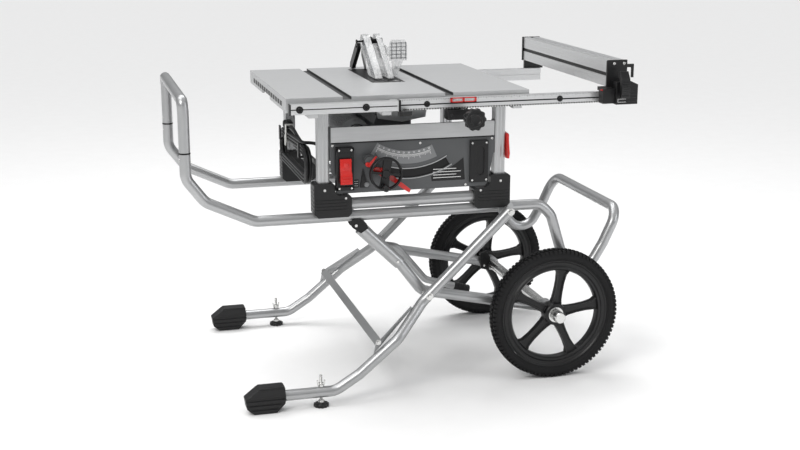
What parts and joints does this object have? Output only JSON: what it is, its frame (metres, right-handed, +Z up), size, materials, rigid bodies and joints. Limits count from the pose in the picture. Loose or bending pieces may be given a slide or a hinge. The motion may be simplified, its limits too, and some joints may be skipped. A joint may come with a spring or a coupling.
{
  "type": "portable table saw on rolling stand",
  "caption": "Portable table saw with extending fence rails, tilting blade and clear guard, on a folding gravity stand with large spoked wheels and tube handles.",
  "frame": {"origin": "on the floor under the middle of the bounding box", "axes": "+X from the left handle towards the wheels and fence, +Y from the control panel towards the back, +Z up"},
  "size_m": [1.356, 0.864, 1.0165],
  "materials": {
    "cast": "cast and machined",
    "extruded": "anodised extrusion",
    "silver": "silver powder coat",
    "steel": "bright zinc",
    "black": "fine moulded texture",
    "black_paint": "satin black",
    "rubber": "soft rubber",
    "tyre": "moulded tread",
    "grey": "satin grey",
    "red": "smooth moulded",
    "clear": "clear polycarbonate"
  },
  "bodies": {
    "saw_and_frame": {"table_top": "cast", "throat_insert": "black_paint", "front_rail_fixed": "extruded", "saw_leg_front_left": "extruded", "saw_leg_front_right": "extruded", "saw_leg_rear_left": "extruded", "saw_leg_rear_right": "extruded", "corner_foot_front_left": "black", "corner_foot_front_right": "black", "corner_foot_rear_left": "black", "corner_foot_rear_right": "black", "base_tube_front": "silver", "base_tube_rear": "silver", "front_panel": "grey", "switch_box": "black", "storage_cover": "black", "stand_frame_loop": "silver", "left_handle": "silver", "cord_coil": "rubber", "cord_lead": "rubber", "cord_plug": "rubber"},
    "switch_paddle": {"switch_paddle": "red"},
    "front_rail": {"front_rail_slide": "extruded"},
    "rear_rail": {"rear_rail_slide": "extruded"},
    "rail_drive": {"pinion_shaft": "steel", "rail_knob": "black"},
    "rail_lock_lever": {"rail_lock_lever": "black"},
    "fence": {"fence_beam": "extruded", "fence_head": "black", "fence_rear_cap": "black"},
    "fence_latch": {"fence_latch_lever": "black"},
    "bevel_cradle": {"bevel_cradle": "steel", "riving_knife": "black_paint", "blade_shroud": "black", "guard_pivot": "black", "guard_window": "clear"},
    "lift_carriage": {"motor_unit": "cast"},
    "blade": {"blade_arbor": "steel", "saw_blade": "steel"},
    "handwheel": {"elevation_handwheel": "black"},
    "crank_knob": {"crank_knob": "black"},
    "bevel_lock_lever": {"bevel_lock_lever": "red"},
    "guard_shield_left": {"guard_shield_left": "clear"},
    "guard_shield_right": {"guard_shield_right": "clear"},
    "kickback_pawl": {"kickback_pawl": "black_paint"},
    "push_stick": {"push_stick": "red"},
    "outer_legs": {"outer_leg_front": "silver", "outer_leg_rear": "silver", "outer_leg_brace": "silver", "foot_boot_front": "rubber", "foot_boot_rear": "rubber"},
    "leveller_front": {"leveller_front": "black"},
    "leveller_rear": {"leveller_rear": "black"},
    "inner_legs": {"inner_leg_frame": "silver", "wheel_axle": "steel"},
    "wheel_front": {"wheel_tyre_front": "tyre", "wheel_rim_front": "black"},
    "wheel_rear": {"wheel_tyre_rear": "tyre", "wheel_rim_rear": "black"},
    "release_pedal": {"release_pedal": "silver"}
  },
  "joints": [
    {"name": "rail_extend", "type": "slide", "parent": "saw_and_frame", "child": "front_rail", "axis": [1, 0, 0], "range_m": [-0.29, 0]},
    {"name": "rear_rail_extend", "type": "slide", "parent": "saw_and_frame", "child": "rear_rail", "axis": [1, 0, 0], "range_m": [-0.295, 0.002]},
    {"name": "rail_knob_turn", "type": "hinge", "parent": "saw_and_frame", "child": "rail_drive", "pos_m": [0.1309, 0.023, 0.831], "axis": [0, 1, 0], "range_deg": [-930, 5]},
    {"name": "rail_lock", "type": "hinge", "parent": "saw_and_frame", "child": "rail_lock_lever", "pos_m": [-0.0641, -0.346, 0.84], "axis": [0, 0, -1], "range_deg": [0, 80]},
    {"name": "fence_slide", "type": "slide", "parent": "front_rail", "child": "fence", "axis": [1, 0, 0], "range_m": [-0.2, 0]},
    {"name": "fence_latch", "type": "hinge", "parent": "fence", "child": "fence_latch", "pos_m": [0.5959, -0.376, 0.937], "axis": [-1, 0, 0], "range_deg": [0, 75]},
    {"name": "bevel_tilt", "type": "hinge", "parent": "saw_and_frame", "child": "bevel_cradle", "pos_m": [-0.0171, 0.023, 0.8925], "axis": [0, -1, 0], "range_deg": [0, 47]},
    {"name": "blade_lift", "type": "slide", "parent": "bevel_cradle", "child": "lift_carriage", "axis": [0, 0, 1], "range_m": [0, 0.079]},
    {"name": "blade_spin", "type": "hinge", "parent": "lift_carriage", "child": "blade", "pos_m": [-0.0171, 0.121, 0.7625], "axis": [1, 0, 0], "continuous": true},
    {"name": "handwheel_turn", "type": "hinge", "parent": "bevel_cradle", "child": "handwheel", "pos_m": [-0.1011, -0.32, 0.669], "axis": [0, 1, 0], "range_deg": [-5, 1450]},
    {"name": "crank_knob_spin", "type": "hinge", "parent": "handwheel", "child": "crank_knob", "pos_m": [-0.1101, -0.347, 0.634], "axis": [0, 1, 0], "continuous": true},
    {"name": "bevel_lock", "type": "hinge", "parent": "bevel_cradle", "child": "bevel_lock_lever", "pos_m": [-0.1011, -0.3035, 0.669], "axis": [0, 1, 0], "range_deg": [0, 50]},
    {"name": "shield_left_swing", "type": "hinge", "parent": "bevel_cradle", "child": "guard_shield_left", "pos_m": [-0.0416, 0.189, 0.993], "axis": [-1, 0, 0], "range_deg": [0, 45]},
    {"name": "shield_right_swing", "type": "hinge", "parent": "bevel_cradle", "child": "guard_shield_right", "pos_m": [0.0074, 0.189, 0.993], "axis": [-1, 0, 0], "range_deg": [0, 45]},
    {"name": "pawl_swing", "type": "hinge", "parent": "bevel_cradle", "child": "kickback_pawl", "pos_m": [-0.0511, 0.228, 0.972], "axis": [1, 0, 0], "range_deg": [0, 35]},
    {"name": "power_paddle", "type": "hinge", "parent": "saw_and_frame", "child": "switch_paddle", "pos_m": [-0.2106, -0.2813, 0.711], "axis": [-1, 0, 0], "range_deg": [0, 40]},
    {"name": "push_stick_off", "type": "slide", "parent": "saw_and_frame", "child": "push_stick", "axis": [1, 0, 0], "range_m": [0, 0.12]},
    {"name": "stand_fold", "type": "hinge", "parent": "saw_and_frame", "child": "outer_legs", "pos_m": [0.2849, 0.023, 0.53], "axis": [0, 1, 0], "range_deg": [0, 10]},
    {"name": "inner_leg_fold", "type": "hinge", "parent": "outer_legs", "child": "inner_legs", "pos_m": [0.0349, 0.023, 0.288], "axis": [0, -1, 0], "range_deg": [-1, 22.64]},
    {"name": "wheel_front_spin", "type": "hinge", "parent": "inner_legs", "child": "wheel_front", "pos_m": [0.4309, -0.3025, 0.203], "axis": [0, 1, 0], "continuous": true},
    {"name": "wheel_rear_spin", "type": "hinge", "parent": "inner_legs", "child": "wheel_rear", "pos_m": [0.4309, 0.3485, 0.203], "axis": [0, 1, 0], "continuous": true},
    {"name": "leveller_front_screw", "type": "slide", "parent": "outer_legs", "child": "leveller_front", "axis": [0, 0, -1], "range_m": [0, 0.02]},
    {"name": "leveller_rear_screw", "type": "slide", "parent": "outer_legs", "child": "leveller_rear", "axis": [0, 0, -1], "range_m": [0, 0.02]},
    {"name": "pedal_press", "type": "hinge", "parent": "inner_legs", "child": "release_pedal", "pos_m": [-0.0371, 0.023, 0.379], "axis": [0, 1, 0], "range_deg": [0, 12], "stiffness_Nm_per_rad": 15, "springref_deg": -20.05}
  ],
  "couplings": [
    {"joint": "rear_rail_extend", "follows": "rail_extend", "ratio": 1},
    {"joint": "rail_knob_turn", "follows": "rail_extend", "rad_per_m": 55.556},
    {"joint": "handwheel_turn", "follows": "blade_lift", "rad_per_m": 318.1},
    {"joint": "shield_left_swing", "follows": "bevel_tilt", "ratio": 0.4},
    {"joint": "pawl_swing", "follows": "bevel_tilt", "ratio": 0.65},
    {"joint": "inner_leg_fold", "follows": "stand_fold", "ratio": 2.1643}
  ]
}
